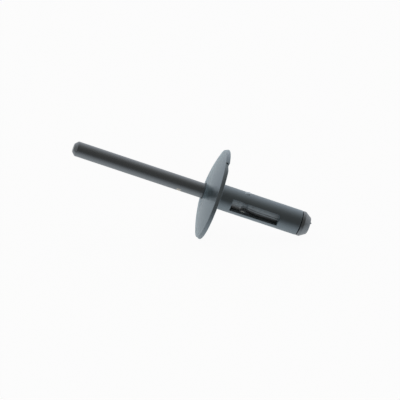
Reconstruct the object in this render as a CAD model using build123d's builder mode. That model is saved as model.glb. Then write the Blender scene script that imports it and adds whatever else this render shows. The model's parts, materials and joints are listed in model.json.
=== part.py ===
from build123d import *
import os
from math import atan2, cos, radians, sin, sqrt, tan

# Plastic push rivet of the pull-stem kind: a moulded sleeve (a wide domed flange and a
# tubular shank with two long slots, so that its two legs fold outwards) and the stem that
# runs through it and ends in a bevelled head against the sleeve's tail.
#
# Both pieces share one axis. Places along it are measured from the flange's seat, the flat
# side that meets the panel, and grow towards the tail. The rivet lies as it comes to rest:
# on the edge of its flange and the edge of its head, with the stem's tip in the air.
# The row's origin is on the table, under the middle of its length. +Z is up and +X runs
# from the tip to the tail. The slots face the two sides, -Y and +Y. Millimetres throughout.

os.makedirs("parts", exist_ok=True)

# --- Sleeve: flange -------------------------------------------------------------------
flange_diameter = 23.6       # at the seat: the rim has the mould's draft
crown_diameter = 22.8        # at the edge of the dome
rim_thickness = 0.95         # from the seat to the edge of the dome
crown_rise = 2.05            # of the dome above the rim, as if it had no bore
crown_edge_round = 0.1
seat_edge_bevel = 0.12
rim_notch_depth = 0.5        # where the gate broke off the rim: deepest at its start, and
rim_notch_start = 19.0       # running out at its end, in degrees from the top of the rim
rim_notch_end = 34.0         # towards the near side
rim_chip_depth = 0.35        # of the seat's side of the rim, which came off with the gate
rim_chip_reach = 1.9         # inwards from the rim

# --- Sleeve: shank --------------------------------------------------------------------
shank_diameter = 6.4
shank_root_round = 0.3       # where the shank leaves the flange
tail_diameter = 6.36         # at the tail end: the legs and the tail have the mould's draft
collar_length = 4.45         # closed tube between the flange and the slots
slot_length = 12.5
slot_width = 3.2             # at the collar: the slots grow narrower towards the tail
slot_tail_width = 2.95
tail_length = 5.5            # closed tube between the slots and the tail end
tail_edge_bevel = 0.12
tail_bore_bevel = 0.35
mouth_bevel = 0.2            # of the bore at the crown
vestige_start = 6.9          # gate vestige on top of the shank, from the seat: a ramp that
vestige_length = 1.5         # rises towards the tail and breaks off
vestige_land = 0.25          # its level part, at the tail end
vestige_width = 1.1
vestige_height = 0.2          # with its width, it still passes the panel's hole

# --- Stem -----------------------------------------------------------------------------
stem_diameter = 3.8
stem_exposed = 34.3          # from the top of the dome to the tip
tip_bevel = 0.85
tip_edge_round = 0.3
drafted_diameter = 3.76      # at the neck: inside the collar the stem has the mould's draft
neck_start = 7.1             # from the seat
neck_shoulder_length = 0.8
neck_diameter = 2.2          # where the stem snaps once the legs have folded
neck_length = 0.5
neck_flare_length = 0.45
waist_diameter = 3.1         # on the tail side of the neck
waist_length = 2.6           # over which the shaft grows back to its full size
head_diameter = 6.34
head_rim_length = 0.75
head_bevel_length = 1.65
head_end_diameter = 4.2
head_edge_bevel = 0.1
head_end_round = 0.4
nub_diameter = 0.6           # gate nub on the end of the head
nub_height = 0.45
nub_offset = 0.85            # from the axis, upwards

# --- Clearances ---------------------------------------------------------------------------
running_clearance = 0.08     # radial, between the stem and the bore
head_gap = 0.2               # between the tail end and the head

# --- Worked out from the values above ----------------------------------------------------
flange_radius = flange_diameter / 2
crown_radius = crown_diameter / 2
shank_radius = shank_diameter / 2
tail_radius = tail_diameter / 2
stem_radius = stem_diameter / 2
tip_radius = stem_radius - tip_bevel
drafted_radius = drafted_diameter / 2
neck_radius = neck_diameter / 2
waist_radius = waist_diameter / 2
head_radius = head_diameter / 2
head_end_radius = head_end_diameter / 2
bore_radius = stem_radius + running_clearance
mouth_radius = bore_radius + mouth_bevel
vestige_root = (bore_radius + shank_radius) / 2
rim_chip_length = flange_radius * sin(radians(rim_notch_end - rim_notch_start))

slot_end = collar_length + slot_length
shank_length = slot_end + tail_length
crown_top = -(rim_thickness + crown_rise)
tip_end = crown_top - stem_exposed
neck_bottom_start = neck_start + neck_shoulder_length
neck_bottom_end = neck_bottom_start + neck_length
waist_start = neck_bottom_end + neck_flare_length
waist_end = waist_start + waist_length
vestige_end = vestige_start + vestige_length
head_start = shank_length + head_gap
head_corner = head_start + head_rim_length
head_end = head_corner + head_bevel_length

dome_radius = (crown_radius**2 + crown_rise**2) / (2 * crown_rise)
dome_centre = crown_top + dome_radius


def dome_at(radius):
    """Place along the axis of the dome's surface, at a radius from the axis."""
    return dome_centre - sqrt(dome_radius**2 - radius**2)


# The rivet rests on the flange's rim, where the seat's bevel starts, and on the corner
# between the head's rim and its bevel.
rim_draft_angle = atan2(flange_radius - crown_radius, rim_thickness)
rest_place = -seat_edge_bevel * cos(rim_draft_angle)
rest_radius = flange_radius - seat_edge_bevel * sin(rim_draft_angle)
rest_angle = atan2(rest_radius - head_radius, head_corner - rest_place)
tilt_cos = cos(rest_angle)
tilt_sin = sin(rest_angle)
seat_height = rest_radius * tilt_cos + rest_place * tilt_sin

# The ends of the row along X are the round at the tip's lower edge and the top of the nub.
tip_round_angle = atan2(tip_bevel, tip_bevel)
tip_reach = (tip_end + tip_edge_round) * tilt_cos - tip_edge_round
tip_reach -= (tip_radius - tip_edge_round * tan(tip_round_angle / 2)) * tilt_sin
tail_reach = (head_end + nub_height) * tilt_cos
tail_reach += (nub_offset + nub_diameter / 2) * tilt_sin
seat_x = -(tip_reach + tail_reach) / 2

# Sketches of the profiles: x along the axis towards the tail, y outwards from it.
seat_centre = Vector(seat_x, 0, seat_height)
tail_direction = Vector(tilt_cos, 0, -tilt_sin)
up_direction = Vector(tilt_sin, 0, tilt_cos)
profile_plane = Plane(origin=seat_centre, x_dir=tail_direction, z_dir=(0, -1, 0))
rivet_axis = Axis(seat_centre, tail_direction)

# The chip's plane is square to the radius at the notch's start: its x runs towards the tail
# and its y back towards the top of the rim.
chip_direction = up_direction * cos(radians(rim_notch_start))
chip_direction -= Vector(0, sin(radians(rim_notch_start)), 0)
chip_plane = Plane(
    origin=seat_centre + chip_direction * (flange_radius - rim_chip_reach),
    x_dir=tail_direction,
    z_dir=chip_direction,
)


def cross_section(place):
    """Plane square to the axis, with its x upwards."""
    return Plane(
        origin=seat_centre + tail_direction * place,
        x_dir=up_direction,
        z_dir=tail_direction,
    )


def polar(radius, angle):
    """A point of a cross-section, at an angle in degrees from the top, towards -Y."""
    return (radius * cos(radians(angle)), radius * sin(radians(angle)))


def corner(profile, place, radius):
    """The corner of a profile at a place along the axis and a radius from it."""
    return profile.vertices().sort_by_distance((place, radius, 0))[0]


# --- Sleeve ------------------------------------------------------------------------------
with BuildPart() as sleeve:
    with BuildSketch(profile_plane) as sleeve_profile:
        with BuildLine():
            dome_middle = (crown_radius + mouth_radius) / 2
            ThreePointArc(
                (-rim_thickness, crown_radius),
                (dome_at(dome_middle), dome_middle),
                (dome_at(mouth_radius), mouth_radius),
            )
            Polyline(
                (dome_at(mouth_radius), mouth_radius),
                (dome_at(mouth_radius) + mouth_bevel, bore_radius),
                (shank_length, bore_radius),
                (shank_length, tail_radius),
                (collar_length, shank_radius),
                (0, shank_radius),
                (0, flange_radius),
                (-rim_thickness, crown_radius),
            )
        make_face()
        fillet(corner(sleeve_profile, -rim_thickness, crown_radius), crown_edge_round)
        chamfer(corner(sleeve_profile, 0, flange_radius), seat_edge_bevel)
        fillet(corner(sleeve_profile, 0, shank_radius), shank_root_round)
        chamfer(corner(sleeve_profile, shank_length, tail_radius), tail_edge_bevel)
        chamfer(corner(sleeve_profile, shank_length, bore_radius), tail_bore_bevel)
    revolve(axis=rivet_axis)

    # One window through both sides of the shank leaves the two folding legs.
    with BuildSketch(profile_plane):
        with BuildLine():
            Polyline(
                (collar_length, slot_width / 2),
                (slot_end, slot_tail_width / 2),
                (slot_end, -slot_tail_width / 2),
                (collar_length, -slot_width / 2),
                close=True,
            )
        make_face()
    extrude(amount=flange_radius, both=True, mode=Mode.SUBTRACT)

    # Gate vestige along the top of the shank.
    with BuildSketch(profile_plane):
        with BuildLine():
            Polyline(
                (vestige_start, vestige_root),
                (vestige_start, tail_radius),
                (vestige_end - vestige_land, shank_radius + vestige_height),
                (vestige_end, shank_radius + vestige_height),
                (vestige_end, vestige_root),
                close=True,
            )
        make_face()
    extrude(amount=vestige_width / 2, both=True)

    # Notch in the rim, towards -Y from the top.
    with BuildSketch(cross_section(-rim_thickness)):
        with BuildLine():
            Polyline(
                polar(flange_radius + rim_notch_depth, rim_notch_start),
                polar(flange_radius - rim_notch_depth, rim_notch_start),
                polar(flange_radius, rim_notch_end),
                polar(flange_radius + rim_notch_depth, rim_notch_end),
                close=True,
            )
        make_face()
    extrude(amount=rim_thickness, mode=Mode.SUBTRACT)

    # Chip off the seat's side of the rim, along the notch.
    with BuildSketch(chip_plane):
        with BuildLine():
            Polyline(
                (-rim_chip_depth, 0),
                (rim_chip_depth, 0),
                (rim_chip_depth, -rim_chip_length),
                (0, -rim_chip_length),
                close=True,
            )
        make_face()
    extrude(amount=2 * rim_chip_reach, mode=Mode.SUBTRACT)

# --- Stem --------------------------------------------------------------------------------
with BuildPart() as stem:
    with BuildSketch(profile_plane) as stem_profile:
        with BuildLine():
            Polyline(
                (tip_end, 0),
                (tip_end, tip_radius),
                (tip_end + tip_bevel, stem_radius),
                (dome_at(mouth_radius), stem_radius),
                (neck_start, drafted_radius),
                (neck_bottom_start, neck_radius),
                (neck_bottom_end, neck_radius),
                (waist_start, waist_radius),
                (waist_end, stem_radius),
                (head_start, stem_radius),
                (head_start, head_radius),
                (head_corner, head_radius),
                (head_end, head_end_radius),
                (head_end, 0),
                (tip_end, 0),
            )
        make_face()
        fillet(corner(stem_profile, tip_end, tip_radius), tip_edge_round)
        chamfer(corner(stem_profile, head_start, head_radius), head_edge_bevel)
        fillet(corner(stem_profile, head_end, head_end_radius), head_end_round)
    revolve(axis=rivet_axis)

    # Gate nub on the end of the head.
    with BuildSketch(cross_section(head_end)):
        with Locations((nub_offset, 0)):
            Circle(nub_diameter / 2)
    extrude(amount=nub_height)

sleeve.part.label = "sleeve"
stem.part.label = "stem"
export_step(sleeve.part, "parts/sleeve.step")
export_step(stem.part, "parts/stem.step")
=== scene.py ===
import json
from math import asin, cos, pi, radians, sin, sqrt, tan

import bmesh
import bpy
from mathutils import Matrix, Vector


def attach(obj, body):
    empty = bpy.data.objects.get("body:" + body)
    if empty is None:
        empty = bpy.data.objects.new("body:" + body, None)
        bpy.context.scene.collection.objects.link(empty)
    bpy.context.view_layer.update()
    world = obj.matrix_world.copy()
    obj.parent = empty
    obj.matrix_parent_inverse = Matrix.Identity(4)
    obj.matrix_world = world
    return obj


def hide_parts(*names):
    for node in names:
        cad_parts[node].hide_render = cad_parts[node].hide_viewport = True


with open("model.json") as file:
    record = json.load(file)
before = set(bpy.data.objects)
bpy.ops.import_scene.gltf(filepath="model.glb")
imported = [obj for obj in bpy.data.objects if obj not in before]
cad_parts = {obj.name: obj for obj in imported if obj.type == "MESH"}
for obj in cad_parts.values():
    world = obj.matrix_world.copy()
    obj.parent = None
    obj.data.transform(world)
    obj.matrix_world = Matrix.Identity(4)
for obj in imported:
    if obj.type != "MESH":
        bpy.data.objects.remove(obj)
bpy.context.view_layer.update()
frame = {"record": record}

MM = 0.001

# ------------------------------------------------------------------------------------
# Sizes in millimetres, the same as in the part's source. NOTCH_FROM and NOTCH_TO are in
# degrees. s runs along the rivet's axis from the flange's seat towards the tail.
# ------------------------------------------------------------------------------------
FLANGE_R = 11.8
CROWN_R = 11.4
RIM_T = 0.95
CROWN_RISE = 2.05
SHANK_R = 3.2
TAIL_R = 3.18
COLLAR = 4.45
SLOT_L = 12.5
SLOT_W = 3.2
SLOT_TAIL_W = 2.95
TAIL_L = 5.5
BORE_R = 1.98
BORE_BEVEL = 0.35
MOUTH_BEVEL = 0.2
ROOT_ROUND = 0.3
VESTIGE_START = 6.9
VESTIGE_L = 1.5
VESTIGE_LAND = 0.25
VESTIGE_W = 1.1
VESTIGE_H = 0.2
NOTCH_DEPTH = 0.5
NOTCH_FROM = 19.0
NOTCH_TO = 34.0
CHIP_DEPTH = 0.35
CHIP_REACH = 1.9

STEM_R = 1.9
STEM_EXPOSED = 34.3
TIP_BEVEL = 0.85
TIP_ROUND = 0.3
DRAFTED_R = 1.88
NECK_START = 7.1
NECK_SHOULDER = 0.8
NECK_R = 1.1
NECK_L = 0.5
NECK_FLARE = 0.45
WAIST_R = 1.55
WAIST_L = 2.6
HEAD_R = 3.17
HEAD_RIM = 0.75
HEAD_BEVEL = 1.65
HEAD_END_R = 2.1
HEAD_END_ROUND = 0.4
HEAD_GAP = 0.2
NUB_R = 0.3
NUB_H = 0.45
NUB_UP = 0.85

# Only in this scene: the height of the mould's parting line, which runs along the stem from
# its waist to its head, and how far the stem is turned about its axis, in degrees.
SEAM_H = 0.05
STEM_TURN = 4.0

# Edges that the moulding rounds off.
CROWN_ROUND = 0.1
SEAT_ROUND = 0.15
TAIL_ROUND = 0.12
SLOT_ROUND = 0.06
VESTIGE_ROUND = 0.05
TIP_SHOULDER_ROUND = 0.08
NECK_ROUND = 0.1
HEAD_ROUND = 0.1
HEAD_CORNER_ROUND = 0.12

# Worked out from these.
SLOT_END = COLLAR + SLOT_L
SHANK_L = SLOT_END + TAIL_L
CROWN_TOP = -(RIM_T + CROWN_RISE)
MOUTH_R = BORE_R + MOUTH_BEVEL
DOME_R = (CROWN_R**2 + CROWN_RISE**2) / (2 * CROWN_RISE)
TIP_END = CROWN_TOP - STEM_EXPOSED
NECK_FROM = NECK_START + NECK_SHOULDER
NECK_TO = NECK_FROM + NECK_L
WAIST_FROM = NECK_TO + NECK_FLARE
WAIST_TO = WAIST_FROM + WAIST_L
HEAD_START = SHANK_L + HEAD_GAP
HEAD_CORNER = HEAD_START + HEAD_RIM
HEAD_END = HEAD_CORNER + HEAD_BEVEL

# How finely the mouldings are divided.
SLEEVE_COLUMNS = 120
SLOT_COLUMNS = 20
LEG_COLUMNS = SLEEVE_COLUMNS // 2 - SLOT_COLUMNS
STEM_COLUMNS = 96
NUB_COLUMNS = 16
DOME_STEPS = 24
SEAT_STEPS = 8
SLOT_STEPS = 50
SHAFT_STEPS = 30
LOWER_SHAFT_STEPS = 12
TUBE_STEP = 0.5
ROUND_STEPS = 4

# How far the evenly divided stretches stay clear of the corners at their ends.
SEAT_MARGIN = 0.6
TAIL_MARGIN = 0.3
WAIST_MARGIN = 1.0
HEAD_MARGIN = 0.5

# Past the slots' ends, the bore's columns go back to the outside's angles over this length.
COLUMN_BLEND = 2.0

END_R = 0.01                  # of the small face that closes the stem at each end
CUT_PAST = 0.2                # how far the notch's cut goes past the seat
SHARP = radians(38.0)         # edges that turn by more than this aren't shaded smooth
WINDOW_EDGE = radians(30.0)   # edges of the windows that turn by more are rounded off

# The nub narrows towards its broken end. A row is a height above the head's end and a share
# of the nub's radius.
NUB_PROFILE = ((-0.3, 1.0), (0.0, 1.0), (0.6 * NUB_H, 0.8), (NUB_H, 0.45))

# Where the axis is: the frame holds it, as the direction and place of a mount.
MOUNTS = {m["name"]: m for m in frame["record"]["mounts"]}
TAILWARD = Vector(MOUNTS["shank_collar"]["axis"]).normalized()
COLLAR_MID = Vector(MOUNTS["shank_collar"]["pos_m"])
SEAT = COLLAR_MID - TAILWARD * ((ROOT_ROUND + COLLAR) / 2 * MM)
UPWARD = Vector((-TAILWARD.z, 0.0, TAILWARD.x))
NEARWARD = Vector((0.0, -1.0, 0.0))


def place(s, up=0.0, near=0.0):
    """A point in the row's frame from the rivet's own coordinates in millimetres."""
    return SEAT + (TAILWARD * s + UPWARD * up + NEARWARD * near) * MM


def polar(s, radius, angle):
    """A point at an angle from the top of the rivet, growing towards the near side."""
    return place(s, radius * cos(angle), radius * sin(angle))


# ------------------------------------------------------------------------------------
# Mesh helpers
# ------------------------------------------------------------------------------------
def crown_at(radius):
    """Where the dome's surface is along the axis, at a radius from it."""
    return CROWN_TOP + DOME_R - sqrt(DOME_R**2 - radius**2)


def shank_radius(s):
    """The shank's radius, with the draft from the collar to the tail."""
    drafted = min(max((s - COLLAR) / (SHANK_L - COLLAR), 0.0), 1.0)
    return SHANK_R + (TAIL_R - SHANK_R) * drafted


def stations(start, end, count):
    """Evenly spaced values from start to end, both included."""
    return [start + (end - start) * k / count for k in range(count + 1)]


def rounded(corners):
    """A profile through (s, radius) corners, where a third value rounds the corner off."""
    points = []
    for i, corner in enumerate(corners):
        here = Vector(corner[:2])
        if len(corner) < 3:
            points.append(here)
            continue
        before = (Vector(corners[i - 1][:2]) - here).normalized()
        after = (Vector(corners[(i + 1) % len(corners)][:2]) - here).normalized()
        half = before.angle(after) / 2
        centre = here + (before + after).normalized() * (corner[2] / sin(half))
        spoke = here + before * (corner[2] / tan(half)) - centre
        turn = (pi - 2 * half) * (1 if before.cross(after) < 0 else -1)
        for k in range(ROUND_STEPS + 1):
            points.append(centre + Matrix.Rotation(turn * k / ROUND_STEPS, 2) @ spoke)
    return [tuple(p) for p in points]


def add_object(name, data):
    """A new object in the scene."""
    obj = bpy.data.objects.new(name, data)
    bpy.context.scene.collection.objects.link(obj)
    return obj


def finish_mesh(bm, name):
    """The bmesh as an object, smooth but for its sharp edges."""
    bmesh.ops.recalc_face_normals(bm, faces=bm.faces)
    mesh = bpy.data.meshes.new(name)
    bm.to_mesh(mesh)
    bm.free()
    mesh.shade_smooth()
    mesh.set_sharp_from_angle(angle=SHARP)
    return add_object(name, mesh)


def round_off(bm, edges, width, segments):
    """Round off edges of a bmesh, over a width in millimetres."""
    bmesh.ops.bevel(
        bm,
        geom=edges,
        offset=width * MM,
        offset_type="OFFSET",
        segments=segments,
        profile=0.5,
        affect="EDGES",
        clamp_overlap=False,
    )


def skin(rings):
    """A bmesh through rings of points, closed by a face at each end."""
    bm = bmesh.new()
    loops = [[bm.verts.new(point) for point in ring] for ring in rings]
    for a, b in zip(loops, loops[1:]):
        for j in range(len(a)):
            after = (j + 1) % len(a)
            bm.faces.new((a[j], a[after], b[after], b[j]))
    bm.faces.new(loops[0])
    bm.faces.new(loops[-1])
    return bm


def prism(outline, span, to_point):
    """A bmesh prism: outline is drawn in two coordinates and spans two values of a third."""
    return skin([[to_point(a, b, c) for a, b in outline] for c in span])


def combine(obj, tool, operation):
    """Join a tool to the mesh of obj, or cut it away."""
    modifier = obj.modifiers.new("combine", "BOOLEAN")
    modifier.operation = operation
    modifier.solver = "EXACT"
    modifier.object = tool
    graph = bpy.context.evaluated_depsgraph_get()
    mesh = bpy.data.meshes.new_from_object(obj.evaluated_get(graph))
    obj.modifiers.clear()
    mesh.name = obj.name
    obj.data = mesh
    bpy.data.objects.remove(tool)
    mesh.set_sharp_from_angle(angle=SHARP)


# ------------------------------------------------------------------------------------
# Sleeve
# ------------------------------------------------------------------------------------
def slot_half_angle(s, radius):
    """Half the angle that a slot takes out of the shank, or would, past its ends.

    On the outside it is the slot's own angle. In the bore it is the wider angle between
    the same two walls, and away from the slots it goes back to the outer one.
    """
    along = min(max((s - COLLAR) / SLOT_L, 0.0), 1.0)
    half_width = (SLOT_W + (SLOT_TAIL_W - SLOT_W) * along) / 2
    outer = asin(half_width / shank_radius(s))
    if radius > (BORE_R + TAIL_R) / 2:
        return outer
    past = max(COLLAR - s, s - SLOT_END, 0.0)
    blend = min(past / COLUMN_BLEND, 1.0)
    return outer * blend + asin(half_width / BORE_R) * (1 - blend)


def sleeve_angle(column, s, radius):
    """The angle of a column of the sleeve: two slots, and a leg after each."""
    half = slot_half_angle(s, radius)
    side, k = divmod(column, SLOT_COLUMNS + LEG_COLUMNS)
    if k <= SLOT_COLUMNS:
        turn = -half + 2 * half * k / SLOT_COLUMNS
    else:
        turn = half + (pi - 2 * half) * (k - SLOT_COLUMNS) / LEG_COLUMNS
    return pi / 2 + pi * side + turn


def sleeve_profile():
    """Closed profile: the dome, the rim, the seat, the shank, its tail and the bore."""
    tube = round(COLLAR / TUBE_STEP)
    corners = [(crown_at(r), r) for r in stations(MOUTH_R, CROWN_R, DOME_STEPS)[:-1]]
    corners += [(-RIM_T, CROWN_R, CROWN_ROUND), (0.0, FLANGE_R, SEAT_ROUND)]
    seat = stations(FLANGE_R - SEAT_MARGIN, SHANK_R + SEAT_MARGIN, SEAT_STEPS)
    corners += [(0.0, r) for r in seat]
    corners += [(0.0, SHANK_R, ROOT_ROUND)]
    corners += [(s, SHANK_R) for s in stations(2 * ROOT_ROUND, COLLAR, tube)[:-1]]
    slot = stations(COLLAR, SLOT_END, SLOT_STEPS)
    corners += [(s, shank_radius(s)) for s in slot]
    tail = stations(SLOT_END, SHANK_L - TAIL_MARGIN, round(TAIL_L / TUBE_STEP))[1:]
    corners += [(s, shank_radius(s)) for s in tail]
    corners += [(SHANK_L, TAIL_R, TAIL_ROUND)]
    corners += [(SHANK_L, BORE_R + BORE_BEVEL), (SHANK_L - BORE_BEVEL, BORE_R)]
    corners += [(s, BORE_R) for s in reversed(tail[:-1])]
    corners += [(s, BORE_R) for s in reversed(slot)]
    start = crown_at(MOUTH_R) + MOUTH_BEVEL
    corners += [(s, BORE_R) for s in reversed(stations(start, COLLAR, 3 * tube)[:-1])]
    return rounded(corners)


def sleeve_lathe():
    """The sleeve turned round its axis, with the two windows left open and then walled."""
    profile = sleeve_profile()
    slot = stations(COLLAR, SLOT_END, SLOT_STEPS)
    outer = [profile.index(tuple(Vector((s, shank_radius(s))))) for s in slot]
    inner = [profile.index(tuple(Vector((s, BORE_R)))) for s in slot]
    bm = bmesh.new()
    rings = [
        [bm.verts.new(polar(s, r, sleeve_angle(j, s, r))) for j in range(SLEEVE_COLUMNS)]
        for s, r in profile
    ]

    def quad(a, b, j):
        """The face between two rings, from column j to the next."""
        after = (j + 1) % SLEEVE_COLUMNS
        bm.faces.new((rings[a][j], rings[a][after], rings[b][after], rings[b][j]))

    # The columns of each slot's two walls.
    walls = [(first, first + SLOT_COLUMNS) for first in (0, SLEEVE_COLUMNS // 2)]
    windows = [j for first, last in walls for j in range(first, last)]
    open_rings = set(outer[:-1]) | set(inner[1:])
    for i in range(len(rings)):
        for j in range(SLEEVE_COLUMNS):
            if not (i in open_rings and j in windows):
                quad(i, (i + 1) % len(rings), j)
    for a, b in ((outer[0], inner[0]), (outer[-1], inner[-1])):
        for j in windows:
            quad(a, b, j)
    for pair in walls:
        for j in pair:
            outside = [rings[i][j] for i in outer]
            inside = [rings[i][j] for i in inner]
            for k in range(SLOT_STEPS):
                bm.faces.new((outside[k], outside[k + 1], inside[k + 1], inside[k]))

    # Round off the windows' edges, outside and in the bore.
    edge_verts = set()
    for loop in (outer, inner):
        for first, last in walls:
            across = range(first, last + 1)
            edge_verts |= {rings[i][j] for i in (loop[0], loop[-1]) for j in across}
            edge_verts |= {rings[i][j] for i in loop for j in (first, last)}
    bmesh.ops.recalc_face_normals(bm, faces=bm.faces)
    edges = [
        e
        for e in bm.edges
        if edge_verts.issuperset(e.verts) and e.calc_face_angle(0.0) > WINDOW_EDGE
    ]
    round_off(bm, edges, SLOT_ROUND, segments=3)
    return bm


def add_vestige(sleeve):
    """The gate's vestige on top of the shank: a ramp that rises towards the tail."""
    end = VESTIGE_START + VESTIGE_L
    root = (BORE_R + SHANK_R) / 2
    top = SHANK_R + VESTIGE_H
    outline = [
        (VESTIGE_START, root),
        (VESTIGE_START, TAIL_R),
        (end - VESTIGE_LAND, top),
        (end, top),
        (end, root),
    ]
    bm = prism(outline, (-VESTIGE_W / 2, VESTIGE_W / 2), place)
    middle = (root + TAIL_R) / 2 * MM
    top_edges = [e for e in bm.edges if all((v.co - SEAT).dot(UPWARD) > middle for v in e.verts)]
    round_off(bm, top_edges, VESTIGE_ROUND, segments=2)
    combine(sleeve, finish_mesh(bm, "vestige"), "UNION")


def cut_notch(sleeve):
    """The notch in the rim where the gate broke off, and the chip beside it."""
    start, end = radians(NOTCH_FROM), radians(NOTCH_TO)
    outline = [
        (FLANGE_R + NOTCH_DEPTH, start),
        (FLANGE_R - NOTCH_DEPTH, start),
        (FLANGE_R, end),
        (FLANGE_R + NOTCH_DEPTH, end),
    ]
    bm = prism(outline, (-RIM_T, CUT_PAST), lambda r, a, s: polar(s, r, a))
    combine(sleeve, finish_mesh(bm, "notch"), "DIFFERENCE")

    # The chip is a wedge off the seat's side, drawn square to the radius.
    length = FLANGE_R * sin(end - start)
    outline = [(-CHIP_DEPTH, 0.0), (CHIP_DEPTH, 0.0), (CHIP_DEPTH, length), (0.0, length)]

    def on_radius(s, across, radius):
        """A point at a radius, and across it from the notch's start."""
        up = radius * cos(start) - across * sin(start)
        return place(s, up, radius * sin(start) + across * cos(start))

    bm = prism(outline, (FLANGE_R - CHIP_REACH, FLANGE_R + CHIP_REACH), on_radius)
    combine(sleeve, finish_mesh(bm, "chip"), "DIFFERENCE")


def make_sleeve():
    """The sleeve's piece, which replaces the CAD's sleeve."""
    sleeve = finish_mesh(sleeve_lathe(), "sleeve_moulding")
    add_vestige(sleeve)
    cut_notch(sleeve)
    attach(sleeve, "sleeve")
    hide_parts("sleeve")
    return sleeve


# ------------------------------------------------------------------------------------
# Stem
# ------------------------------------------------------------------------------------
def stem_profile():
    """Open profile from the middle of the tip to the middle of the head's end."""
    tip_r = STEM_R - TIP_BEVEL
    tip_shoulder = TIP_END + TIP_BEVEL
    corners = [(TIP_END, END_R), (TIP_END, tip_r / 2), (TIP_END, tip_r, TIP_ROUND)]
    corners += [(tip_shoulder, STEM_R, TIP_SHOULDER_ROUND)]
    shaft = stations(TIP_END + 2 * TIP_BEVEL, crown_at(MOUTH_R), SHAFT_STEPS)
    corners += [(s, STEM_R) for s in shaft]
    corners += [(NECK_START, DRAFTED_R, NECK_ROUND), (NECK_FROM, NECK_R, NECK_ROUND)]
    corners += [(NECK_TO, NECK_R, NECK_ROUND), (WAIST_FROM, WAIST_R, NECK_ROUND)]
    corners += [(WAIST_TO, STEM_R)]
    lower = stations(WAIST_TO + WAIST_MARGIN, HEAD_START - HEAD_MARGIN, LOWER_SHAFT_STEPS)
    corners += [(s, STEM_R) for s in lower]
    corners += [(HEAD_START, STEM_R), (HEAD_START, HEAD_R, HEAD_ROUND)]
    corners += [(HEAD_CORNER, HEAD_R, HEAD_CORNER_ROUND)]
    corners += [(HEAD_END, HEAD_END_R, HEAD_END_ROUND)]
    corners += [(HEAD_END, HEAD_END_R / 2), (HEAD_END, END_R)]
    return rounded(corners)


def stem_ring(s, radius):
    """A ring of the stem, with the mould's parting line raised on both sides of its shaft."""
    ring = []
    for j in range(STEM_COLUMNS):
        on_seam = j % (STEM_COLUMNS // 2) == STEM_COLUMNS // 4
        raised = SEAM_H if on_seam and WAIST_FROM < s < HEAD_START else 0.0
        angle = 2 * pi * j / STEM_COLUMNS + radians(STEM_TURN)
        ring.append(polar(s, radius + raised, angle))
    return ring


def nub_ring(height, share):
    """A ring of the gate's nub on the end of the head."""
    turns = [2 * pi * k / NUB_COLUMNS for k in range(NUB_COLUMNS)]
    radius = NUB_R * share
    return [place(HEAD_END + height, NUB_UP + radius * cos(t), radius * sin(t)) for t in turns]


def make_stem():
    """The stem's piece, which replaces the CAD's stem."""
    stem = finish_mesh(skin([stem_ring(s, r) for s, r in stem_profile()]), "stem_moulding")
    nub = skin([nub_ring(height, share) for height, share in NUB_PROFILE])
    combine(stem, finish_mesh(nub, "nub"), "UNION")
    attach(stem, "stem")
    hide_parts("stem")
    return stem


# ------------------------------------------------------------------------------------
# Node helpers
# ------------------------------------------------------------------------------------
NOISE_ROUGHNESS = 0.55


def fresh_tree(owner):
    """The emptied node tree of a material or of the world."""
    owner.use_nodes = True
    owner.node_tree.nodes.clear()
    return owner.node_tree


def noise(tree, coords, scale, detail):
    """Noise round 0.5, with its scale per metre."""
    node = tree.nodes.new("ShaderNodeTexNoise")
    node.inputs["Scale"].default_value = scale
    node.inputs["Detail"].default_value = detail
    node.inputs["Roughness"].default_value = NOISE_ROUGHNESS
    tree.links.new(coords, node.inputs["Vector"])
    return node.outputs["Fac"]


def ramp(tree, value, low, high, a=0.0, b=1.0, smooth=False):
    """Map low to a and high to b, and hold those values outside that range."""
    node = tree.nodes.new("ShaderNodeMapRange")
    if smooth:
        node.interpolation_type = "SMOOTHSTEP"
    node.inputs["From Min"].default_value = low
    node.inputs["From Max"].default_value = high
    node.inputs["To Min"].default_value = a
    node.inputs["To Max"].default_value = b
    tree.links.new(value, node.inputs["Value"])
    return node.outputs["Result"]


def between(tree, value, low, high, soft):
    """1 between two values and 0 outside them, with soft borders."""
    begun = ramp(tree, value, low - soft, low + soft, 0.0, 1.0, smooth=True)
    ended = ramp(tree, value, high - soft, high + soft, 1.0, 0.0, smooth=True)
    return maths(tree, "MULTIPLY", begun, ended)


def maths(tree, operation, a, b):
    """A Math node of two numbers, each a socket or a float."""
    node = tree.nodes.new("ShaderNodeMath")
    node.operation = operation
    for socket, value in zip(node.inputs, (a, b)):
        if isinstance(value, float):
            socket.default_value = value
        else:
            tree.links.new(value, socket)
    return node.outputs[0]


def product(tree, *factors):
    """All the factors multiplied. The first is a socket."""
    result = factors[0]
    for factor in factors[1:]:
        result = maths(tree, "MULTIPLY", result, factor)
    return result


def dot(tree, value, direction):
    """How far a vector reaches in a fixed direction."""
    node = tree.nodes.new("ShaderNodeVectorMath")
    node.operation = "DOT_PRODUCT"
    node.inputs[1].default_value = direction
    tree.links.new(value, node.inputs[0])
    return node.outputs["Value"]


def mix_colour(tree, factor, a, b):
    """a where the factor is 0 and b where it is 1, each a socket or a tuple."""
    node = tree.nodes.new("ShaderNodeMix")
    node.data_type = "RGBA"
    tree.links.new(factor, node.inputs["Factor"])
    for name, value in (("A", a), ("B", b)):
        socket = next(s for s in node.inputs if s.name == name and s.type == "RGBA")
        if isinstance(value, tuple):
            socket.default_value = (*value, 1.0)
        else:
            tree.links.new(value, socket)
    return next(s for s in node.outputs if s.type == "RGBA")


def object_coords(tree):
    """The shaded point in the piece's own coordinates, in metres."""
    return tree.nodes.new("ShaderNodeTexCoord").outputs["Object"]


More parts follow.
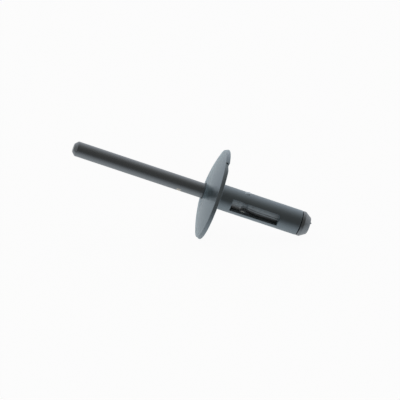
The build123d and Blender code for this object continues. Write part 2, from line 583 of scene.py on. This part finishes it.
def rivet_coords(tree):
    """The shaded point in the rivet's own millimetres: s, up, near, and the radius."""
    offset = tree.nodes.new("ShaderNodeVectorMath")
    offset.operation = "SUBTRACT"
    offset.inputs[1].default_value = SEAT
    tree.links.new(object_coords(tree), offset.inputs[0])
    directions = (TAILWARD, UPWARD, NEARWARD)
    s, up, near = [dot(tree, offset.outputs[0], direction / MM) for direction in directions]
    squares = maths(tree, "ADD", product(tree, up, up), product(tree, near, near))
    return s, up, near, maths(tree, "SQRT", squares, 0.0)


# ------------------------------------------------------------------------------------
# Materials
# ------------------------------------------------------------------------------------
# Both mouldings are near-black nylon with a bluish gloss. A cloud of noise mottles their
# colour and makes the gloss uneven: MOTTLED and UNEVEN_GLOSS are the values of the noise
# that those changes run between. Finer noise is the grain, and its height is in metres.
NYLON_IOR = 1.95
CLOUD_SCALE = 260.0
CLOUD_DETAIL = 4.0
MOTTLED = (0.35, 0.65)
UNEVEN_GLOSS = (0.3, 0.7)
GRAIN_SCALE = 4200.0
GRAIN_DETAIL = 2.0
GRAIN_STRENGTH = 0.25

SLEEVE_DARK = (0.016, 0.0155, 0.014)
SLEEVE_LIGHT = (0.022, 0.021, 0.019)
SLEEVE_TINT = (0.72, 0.88, 1.0)
SLEEVE_ROUGH = (0.27, 0.36)
SLEEVE_GRAIN = 0.00005
SHEEN = 1.0
SHEEN_ROUGH = 0.3
SHEEN_TINT = (0.6, 0.87, 1.02)

# The flange is a little glossier than the shank and has more grain. The bore is matt, and
# with its mouth it reflects little. A border is two radii that a change runs between.
FLANGE_BORDER = (SHANK_R + 0.2, SHANK_R + 0.8)
FLANGE_ROUGHER = -0.15
FLANGE_GRAIN = 1.0
BORE_BORDER = (BORE_R + 0.05, BORE_R + 0.2)
BORE_ROUGHER = 0.4
MOUTH_BORDER = (MOUTH_R + 0.1, MOUTH_R + 0.25)
MOUTH_GLOSS = 0.25

# The rim is scuffed, outside the dome's edge. RIM_START is along the axis.
SCUFFED = (0.055, 0.062, 0.067)
RIM_BORDER = (CROWN_R - 0.05, CROWN_R + 0.05)
RIM_START = (-RIM_T - 0.1, -RIM_T)

# The windows' walls and the bore between them are painted paler, as painted light that lifts
# the shade in there. Here and below, a third number is how soft the borders are.
INSIDE_PAINTED_LIGHT = (0.085, 0.088, 0.088)
INSIDE_R = (BORE_R - 0.2, SHANK_R - 0.15, 0.05)
INSIDE_S = (COLLAR - 0.5, SLOT_END + 0.5, 0.3)

# The vestige is whitened where the gate broke off. The whitening also reaches past its sides
# onto the shank, and there it is painted light over the shade at the vestige's foot.
WHITENED_AND_PAINTED_LIGHT = (0.46, 0.51, 0.55)
PALE_S = (VESTIGE_START + 0.1, VESTIGE_START + VESTIGE_L + 0.1, 0.1)
PALE_NEAR = (-VESTIGE_W / 2 - 0.15, VESTIGE_W / 2 + 0.15, 0.1)
PALE_UP = (SHANK_R - 0.3, SHANK_R - 0.2)

# A painted glint lies on the bottom of the bore, seen past the stem's neck.
PAINTED_GLINT = (0.95, 0.97, 0.85)
GLINT_S = (7.75, 8.55, 0.15)
GLINT_R = (BORE_R + 0.02, BORE_R + 0.1)
GLINT_UP = (-BORE_R + 0.1, -BORE_R + 0.2)
GLINT_NEAR = (-0.35, -0.2)

STEM_DARK = (0.013, 0.0125, 0.012)
STEM_LIGHT = (0.018, 0.0175, 0.0165)
STEM_TINT = (0.82, 0.92, 1.0)
STEM_ROUGH = (0.24, 0.32)
STEM_GRAIN = 0.00001

# Painted light lies on the stem where the windows leave it open: a pale band, palest on top
# and less pale at its lower border. Under that border the painted light is dimmer past the neck
# than before it. Where the noise is low, only PATCHY of the palest colour is left.
PAINTED_LIGHT = (0.46, 0.55, 0.62)
PAINTED_LIGHT_THIN = (0.19, 0.22, 0.24)
PAINTED_LIGHT_UNDER = (0.2, 0.2, 0.2)
PAINTED_LIGHT_UNDER_WAIST = (0.11, 0.115, 0.115)
PAINTED_FADE = 0.8
PAINTED_S = (COLLAR - PAINTED_FADE, SLOT_END + PAINTED_FADE, PAINTED_FADE)
PAINTED_FROM = -0.35
PAINTED_UP = (PAINTED_FROM, SLOT_W / 2 + 0.1, 0.12)
BRIGHTENING = (PAINTED_FROM, 0.3)
WINDOW_ROUGHER = 0.25
PATCH_SCALE = 1100.0
PATCH_DETAIL = 3.0
PATCHES = (0.35, 0.65)
PATCHY = 0.7

# Along the parting line the painted light is mostly left off, so the line shows dark, and past
# the neck a thin pale line under it is a painted highlight on the flash.
SEAM_BARE = 0.7
SEAM_BARE_UP = (-0.15, 0.03, 0.05)
FLASH_HIGHLIGHT_UP = (-0.4, -0.22, 0.05)

# A cream fleck sits low on the near side of the bare shaft.
FLECK = (0.75, 0.64, 0.46)
FLECK_S = (-9.6, -8.6, 0.3)
FLECK_UP = (-1.65, -0.85, 0.15)
FLECK_NEAR = (0.2, 0.5)


def plastic(name, dark, light, rough_span, tint, grain):
    """Moulded nylon: mottled colour, uneven gloss and a fine grain."""
    mat = bpy.data.materials.new(name)
    tree = fresh_tree(mat)
    out = tree.nodes.new("ShaderNodeOutputMaterial")
    shader = tree.nodes.new("ShaderNodeBsdfPrincipled")
    tree.links.new(shader.outputs["BSDF"], out.inputs["Surface"])
    coords = object_coords(tree)
    cloud = noise(tree, coords, CLOUD_SCALE, CLOUD_DETAIL)
    colour = mix_colour(tree, ramp(tree, cloud, *MOTTLED), dark, light)
    rough = ramp(tree, cloud, *UNEVEN_GLOSS, *rough_span)
    bump = tree.nodes.new("ShaderNodeBump")
    bump.inputs["Strength"].default_value = GRAIN_STRENGTH
    bump.inputs["Distance"].default_value = grain
    tree.links.new(noise(tree, coords, GRAIN_SCALE, GRAIN_DETAIL), bump.inputs["Height"])
    tree.links.new(bump.outputs["Normal"], shader.inputs["Normal"])
    shader.inputs["IOR"].default_value = NYLON_IOR
    shader.inputs["Specular IOR Level"].default_value = 1.0
    shader.inputs["Specular Tint"].default_value = (*tint, 1.0)
    return mat, tree, shader, colour, rough, bump


def sleeve_colour(tree, colour, s, up, near, radius):
    """The colour: painted light inside, the scuffed rim, a painted glint, the vestige's
    whitening.
    """
    # Painted light: the windows' walls and the bore are painted paler to lift their shade.
    inside = product(tree, between(tree, radius, *INSIDE_R), between(tree, s, *INSIDE_S))
    colour = mix_colour(tree, inside, colour, INSIDE_PAINTED_LIGHT)
    on_rim = product(tree, ramp(tree, radius, *RIM_BORDER), ramp(tree, s, *RIM_START))
    colour = mix_colour(tree, on_rim, colour, SCUFFED)
    # A painted glint on the bottom of the bore.
    glint = product(
        tree,
        between(tree, s, *GLINT_S),
        ramp(tree, radius, *GLINT_R, 1.0, 0.0),
        ramp(tree, up, *GLINT_UP, 1.0, 0.0),
        ramp(tree, near, *GLINT_NEAR),
    )
    colour = mix_colour(tree, glint, colour, PAINTED_GLINT)
    # Whitening on the vestige, and painted light over the shade on the shank beside it.
    whitening_and_light = product(
        tree,
        between(tree, s, *PALE_S),
        between(tree, near, *PALE_NEAR),
        ramp(tree, up, *PALE_UP),
    )
    return mix_colour(tree, whitening_and_light, colour, WHITENED_AND_PAINTED_LIGHT)


def sleeve_nylon():
    """The sleeve: grainier and glossier on the flange, and matt in the bore."""
    mat, tree, shader, colour, rough, bump = plastic(
        "sleeve_nylon", SLEEVE_DARK, SLEEVE_LIGHT, SLEEVE_ROUGH, SLEEVE_TINT, SLEEVE_GRAIN
    )
    s, up, near, radius = rivet_coords(tree)
    colour = sleeve_colour(tree, colour, s, up, near, radius)
    tree.links.new(colour, shader.inputs["Base Color"])

    strength = ramp(tree, radius, *FLANGE_BORDER, GRAIN_STRENGTH, FLANGE_GRAIN)
    tree.links.new(strength, bump.inputs["Strength"])
    on_flange = ramp(tree, radius, *FLANGE_BORDER, 0.0, FLANGE_ROUGHER)
    in_bore = ramp(tree, radius, *BORE_BORDER, BORE_ROUGHER, 0.0)
    rougher = maths(tree, "ADD", in_bore, on_flange)
    tree.links.new(maths(tree, "ADD", rough, rougher), shader.inputs["Roughness"])
    in_mouth = ramp(tree, radius, *MOUTH_BORDER, MOUTH_GLOSS, 1.0)
    tree.links.new(in_mouth, shader.inputs["Specular IOR Level"])
    shader.inputs["Sheen Weight"].default_value = SHEEN
    shader.inputs["Sheen Roughness"].default_value = SHEEN_ROUGH
    shader.inputs["Sheen Tint"].default_value = (*SHEEN_TINT, 1.0)
    return mat


def stem_nylon():
    """The stem: painted light where it lies in the sleeve's windows, with a fleck under its
    shaft.
    """
    mat, tree, shader, colour, rough, _ = plastic(
        "stem_nylon", STEM_DARK, STEM_LIGHT, STEM_ROUGH, STEM_TINT, STEM_GRAIN
    )
    s, up, near, _ = rivet_coords(tree)
    # A pale band of painted light on the stem in the windows, palest on top.
    patches = noise(tree, object_coords(tree), PATCH_SCALE, PATCH_DETAIL)
    palest = product(
        tree, ramp(tree, up, *BRIGHTENING), ramp(tree, patches, *PATCHES, PATCHY, 1.0)
    )
    past_neck = ramp(tree, s, NECK_START, WAIST_FROM)
    beneath = mix_colour(tree, past_neck, PAINTED_LIGHT_UNDER, PAINTED_LIGHT_UNDER_WAIST)
    upper = mix_colour(tree, palest, PAINTED_LIGHT_THIN, PAINTED_LIGHT)
    painted_band = mix_colour(tree, between(tree, up, *PAINTED_UP), beneath, upper)
    # The painted light is mostly left off along the parting line.
    seam_bare = product(tree, between(tree, up, *SEAM_BARE_UP), SEAM_BARE)
    painted_band = mix_colour(tree, seam_bare, painted_band, STEM_DARK)
    # A painted highlight on the flash, past the neck.
    flash_highlight = product(tree, past_neck, between(tree, up, *FLASH_HIGHLIGHT_UP))
    painted_band = mix_colour(tree, flash_highlight, painted_band, PAINTED_LIGHT)
    in_window = between(tree, s, *PAINTED_S)
    colour = mix_colour(tree, in_window, colour, painted_band)

    fleck = product(
        tree,
        between(tree, up, *FLECK_UP),
        ramp(tree, near, *FLECK_NEAR),
        between(tree, s, *FLECK_S),
    )
    tree.links.new(mix_colour(tree, fleck, colour, FLECK), shader.inputs["Base Color"])
    rougher = product(tree, in_window, WINDOW_ROUGHER)
    tree.links.new(maths(tree, "ADD", rough, rougher), shader.inputs["Roughness"])
    return mat


for piece, material in ((make_sleeve(), sleeve_nylon()), (make_stem(), stem_nylon())):
    piece.data.materials.clear()
    piece.data.materials.append(material)


# ------------------------------------------------------------------------------------
# Floor and light
# ------------------------------------------------------------------------------------
# A light tent: white all round, with a dim opening at the front for the camera. The
# opening's middle is FRONT_ELEVATION above level, and its edge is soft: the light grows from
# OPENING_FROM to OPENING_TO, which are angles from that middle.
FRONT_ELEVATION = radians(20.0)
OPENING_FROM = radians(20.0)
OPENING_TO = radians(150.0)
OPENING_LEVEL = 0.18
TENT_LEVEL = 1.05
OPENING_TINT = (1.05, 1.0, 0.93)
TENT_TINT = (0.99, 0.985, 1.015)

# The floor, in metres: it lies FLOOR_DROP under the rivet's lowest points. FLOOR_GLOW is
# the share of it that glows, to the camera and in reflections. The rest is diffuse and takes
# the object's shadow.
FLOOR_HALF = 1.5
FLOOR_DROP = 0.00002
FLOOR_WHITE = (0.86, 0.86, 0.86, 1.0)
GLOW_WHITE = (1.0, 1.0, 1.0, 1.0)
FLOOR_GLOW = 0.95

# In reflections the floor is white behind the rivet. In front of it, it goes from white,
# where it is seen steeply, to as dim as the tent's opening, where it is seen at a low angle.
# The two Y are in millimetres, and the other two are values of Layer Weight's Facing.
FLOOR_DIM_Y = -10.0
FLOOR_LIT_Y = -3.0
FLOOR_STEEP = 0.08
FLOOR_LOW = 0.92


def floor():
    """A white floor that keeps the object's shadow."""
    mesh = bpy.data.meshes.new("floor")
    signs = ((-1, -1), (1, -1), (1, 1), (-1, 1))
    corners = [(x * FLOOR_HALF, y * FLOOR_HALF, 0) for x, y in signs]
    mesh.from_pydata(corners, [], [(0, 1, 2, 3)])
    obj = add_object("floor", mesh)
    obj.location.z = -FLOOR_DROP
    mat = bpy.data.materials.new("floor_white")
    tree = fresh_tree(mat)
    out = tree.nodes.new("ShaderNodeOutputMaterial")
    diffuse = tree.nodes.new("ShaderNodeBsdfDiffuse")
    diffuse.inputs["Color"].default_value = FLOOR_WHITE
    glow = tree.nodes.new("ShaderNodeEmission")
    glow.inputs["Color"].default_value = GLOW_WHITE
    path = tree.nodes.new("ShaderNodeLightPath")
    axes = tree.nodes.new("ShaderNodeSeparateXYZ")
    tree.links.new(object_coords(tree), axes.inputs[0])
    dim, lit = FLOOR_DIM_Y * MM, FLOOR_LIT_Y * MM
    behind = ramp(tree, axes.outputs["Y"], dim, lit, OPENING_LEVEL, 1.0)
    weight = tree.nodes.new("ShaderNodeLayerWeight")
    weight.inputs["Blend"].default_value = 0.5
    facing = weight.outputs["Facing"]
    steep = ramp(tree, facing, FLOOR_STEEP, FLOOR_LOW, 1.0, OPENING_LEVEL)
    level = maths(tree, "MAXIMUM", steep, behind)
    level = maths(tree, "MAXIMUM", level, path.outputs["Is Camera Ray"])
    tree.links.new(level, glow.inputs["Strength"])
    seen = maths(tree, "MAXIMUM", path.outputs["Is Camera Ray"], path.outputs["Is Glossy Ray"])
    mix = tree.nodes.new("ShaderNodeMixShader")
    tree.links.new(product(tree, seen, FLOOR_GLOW), mix.inputs["Fac"])
    tree.links.new(diffuse.outputs[0], mix.inputs[1])
    tree.links.new(glow.outputs[0], mix.inputs[2])
    tree.links.new(mix.outputs[0], out.inputs["Surface"])
    mesh.materials.append(mat)


def light_tent():
    """The world: the light tent, with its opening towards the camera."""
    world = bpy.data.worlds.new("light_tent")
    bpy.context.scene.world = world
    tree = fresh_tree(world)
    out = tree.nodes.new("ShaderNodeOutputWorld")
    background = tree.nodes.new("ShaderNodeBackground")
    coords = tree.nodes.new("ShaderNodeTexCoord").outputs["Generated"]
    middle = (0.0, -cos(FRONT_ELEVATION), sin(FRONT_ELEVATION))
    level = ramp(
        tree,
        dot(tree, coords, middle),
        cos(OPENING_TO),
        cos(OPENING_FROM),
        TENT_LEVEL,
        OPENING_LEVEL,
        smooth=True,
    )
    tint = mix_colour(
        tree, ramp(tree, level, OPENING_LEVEL, TENT_LEVEL), OPENING_TINT, TENT_TINT
    )
    tree.links.new(tint, background.inputs["Color"])
    tree.links.new(level, background.inputs["Strength"])
    tree.links.new(background.outputs[0], out.inputs["Surface"])


floor()
light_tent()

# ------------------------------------------------------------------------------------
# Camera, fitted to the photograph's outlines: a long lens, 25 degrees above level. The
# middle of the flange's seat is right of the picture's middle and above it, in pixels.
# ------------------------------------------------------------------------------------
AZIMUTH = radians(0.37)
ELEVATION = radians(25.0)
ROLL = radians(0.24)
DISTANCE_PX = 4010.0
MM_PER_PX = 0.2492
RIGHT_PX = 14.5
ABOVE_PX = 5.4
FRAME_PX = 400.0
SENSOR_MM = 36.0
CLIP_START = 0.05
CLIP_END = 20.0

right = Vector((cos(AZIMUTH), -sin(AZIMUTH), 0.0))
to_camera = Vector(
    (
        -sin(AZIMUTH) * cos(ELEVATION),
        -cos(AZIMUTH) * cos(ELEVATION),
        sin(ELEVATION),
    )
)
up = to_camera.cross(right)
right, up = right * cos(ROLL) + up * sin(ROLL), up * cos(ROLL) - right * sin(ROLL)
aim = SEAT - (right * RIGHT_PX + up * ABOVE_PX) * MM_PER_PX * MM
cam_data = bpy.data.cameras.new("camera")
cam = add_object("camera", cam_data)
cam_data.sensor_fit = "HORIZONTAL"
cam_data.sensor_width = SENSOR_MM
cam_data.lens = SENSOR_MM * DISTANCE_PX / FRAME_PX
cam_data.clip_start = CLIP_START
cam_data.clip_end = CLIP_END
rotation = Matrix((right, up, to_camera)).transposed().to_4x4()
distance = DISTANCE_PX * MM_PER_PX * MM
cam.matrix_world = Matrix.Translation(aim + to_camera * distance) @ rotation
bpy.context.scene.camera = cam

bpy.context.scene.view_settings.view_transform = "Standard"
